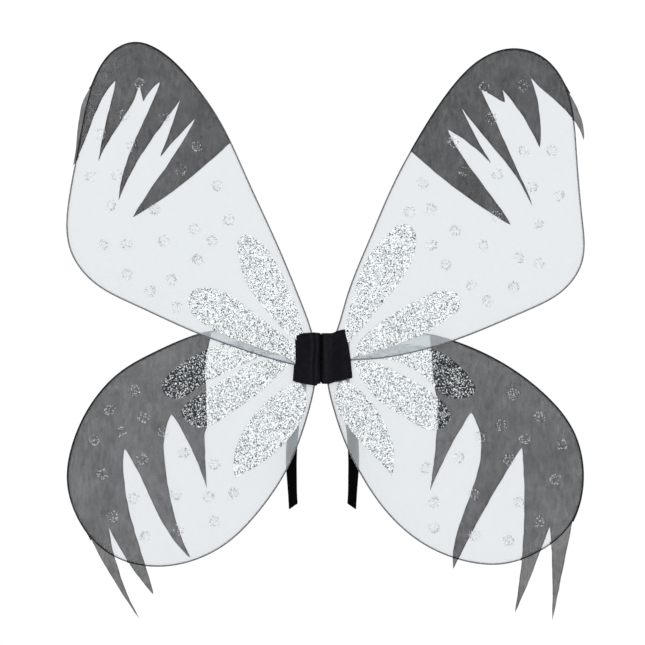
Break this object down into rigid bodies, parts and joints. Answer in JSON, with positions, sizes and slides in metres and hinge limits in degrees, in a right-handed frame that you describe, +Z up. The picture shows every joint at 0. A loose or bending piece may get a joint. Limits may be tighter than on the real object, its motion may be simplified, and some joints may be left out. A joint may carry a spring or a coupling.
{
  "type": "fairy wings",
  "caption": "Wearable fairy wings: wire-framed sheer butterfly wings with dark ragged tips and glitter petals, folding on a centre patch with elastic shoulder loops.",
  "frame": {"origin": "middle of the wearer-side face of the back pad", "axes": "+X along the span, to the right as seen from the outer face; +Y towards the wearer; +Z up"},
  "size_m": [0.6736, 0.0359, 0.7529],
  "materials": {
    "black_wire": "satin black coated spring wire, 2 mm",
    "white_sheer": "sheer white crystal organza with a faint pearly sheen",
    "charcoal_sheer": "sheer black stocking knit with heat-cut ragged edges",
    "petal_glitter": "coarse silver glitter bonded to the fabric",
    "dot_glitter": "thin clear dots of fine silver glitter",
    "binding_tape": "black cloth tape",
    "patch_felt": "matt black brushed fabric",
    "pad_cover": "soft black brushed fabric over thin foam",
    "thread": "black polyester sewing thread",
    "strap_elastic": "ribbed black woven elastic"
  },
  "bodies": {
    "back": {"back_pad": "pad_cover", "back_patch": "patch_felt", "crease_seam": "thread", "left_strap_stitches": "thread", "left_strap_tabs": "strap_elastic", "right_strap_stitches": "thread", "right_strap_tabs": "strap_elastic"},
    "left_wings": {"left_front_patch": "patch_felt", "left_wire_binding": "binding_tape", "lower_left_fabric": "white_sheer", "lower_left_glitter_dots": "dot_glitter", "lower_left_glitter_petals": "petal_glitter", "lower_left_overlay": "charcoal_sheer", "lower_left_wire": "black_wire", "upper_left_fabric": "white_sheer", "upper_left_glitter_dots": "dot_glitter", "upper_left_glitter_petals": "petal_glitter", "upper_left_overlay": "charcoal_sheer", "upper_left_wire": "black_wire"},
    "right_wings": {"lower_right_fabric": "white_sheer", "lower_right_glitter_dots": "dot_glitter", "lower_right_glitter_petals": "petal_glitter", "lower_right_overlay": "charcoal_sheer", "lower_right_wire": "black_wire", "right_front_patch": "patch_felt", "right_wire_binding": "binding_tape", "upper_right_fabric": "white_sheer", "upper_right_glitter_dots": "dot_glitter", "upper_right_glitter_petals": "petal_glitter", "upper_right_overlay": "charcoal_sheer", "upper_right_wire": "black_wire"},
    "left_strap": {"left_strap_loop": "strap_elastic"},
    "right_strap": {"right_strap_loop": "strap_elastic"}
  },
  "joints": [
    {"name": "left_wing_fold", "type": "hinge", "parent": "back", "child": "left_wings", "pos_m": [-0.0026, -0.0133, 0], "axis": [0, 0, 1], "range_deg": [0, 85]},
    {"name": "right_wing_fold", "type": "hinge", "parent": "back", "child": "right_wings", "pos_m": [-0.0014, -0.0133, 0], "axis": [0, 0, -1], "range_deg": [0, 85]},
    {"name": "left_strap_lift", "type": "hinge", "parent": "back", "child": "left_strap", "pos_m": [-0.028, -0.00205, -0.0375], "axis": [1, 0, 0], "range_deg": [0, 100]},
    {"name": "right_strap_lift", "type": "hinge", "parent": "back", "child": "right_strap", "pos_m": [0.028, -0.00205, -0.0375], "axis": [1, 0, 0], "range_deg": [0, 100]}
  ]
}
